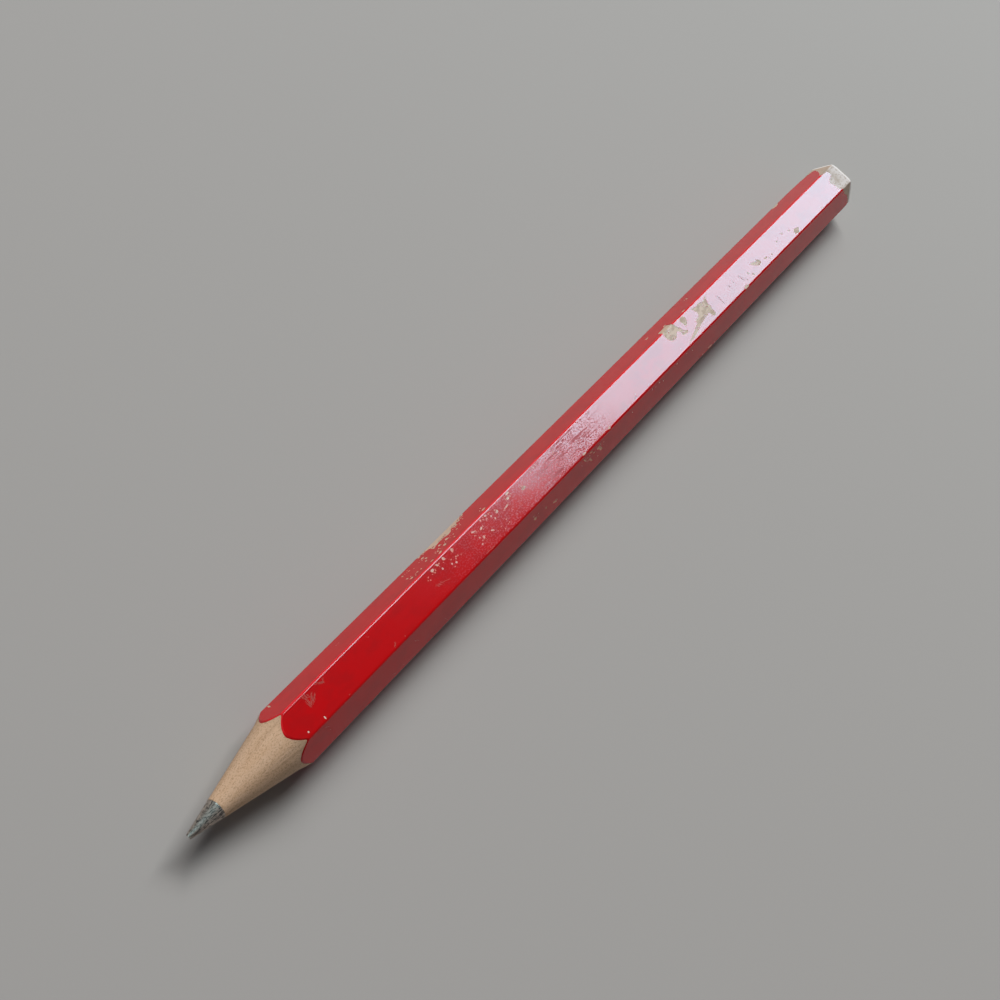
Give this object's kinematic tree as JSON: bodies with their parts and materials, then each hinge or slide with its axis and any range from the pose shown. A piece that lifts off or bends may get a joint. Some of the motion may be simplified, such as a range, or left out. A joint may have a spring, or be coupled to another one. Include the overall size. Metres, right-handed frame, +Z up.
{
  "type": "hexagonal pencil",
  "caption": "Worn hexagonal graphite pencil lying on a flat: sharpened at one end, with chipped lacquer that shows bare wood and a rubbed blunt end.",
  "frame": {"origin": "centre of the footprint on the surface that the pencil lies on", "axes": "+X along the pencil from its point to its blunt end, +Z up out of the top flat"},
  "size_m": [0.15, 0.008, 0.007],
  "materials": {
    "graphite": "dull metallic grey graphite, streaked by sharpening",
    "wood": "bare fine-grained wood, grey with dirt where the lacquer is gone",
    "red_lacquer": "glossy red lacquer, chipped and scuffed"
  },
  "bodies": {
    "root": {"graphite_core": "graphite", "casing_upper": "wood", "casing_lower": "wood", "lacquer_coat": "red_lacquer"}
  },
  "joints": []
}
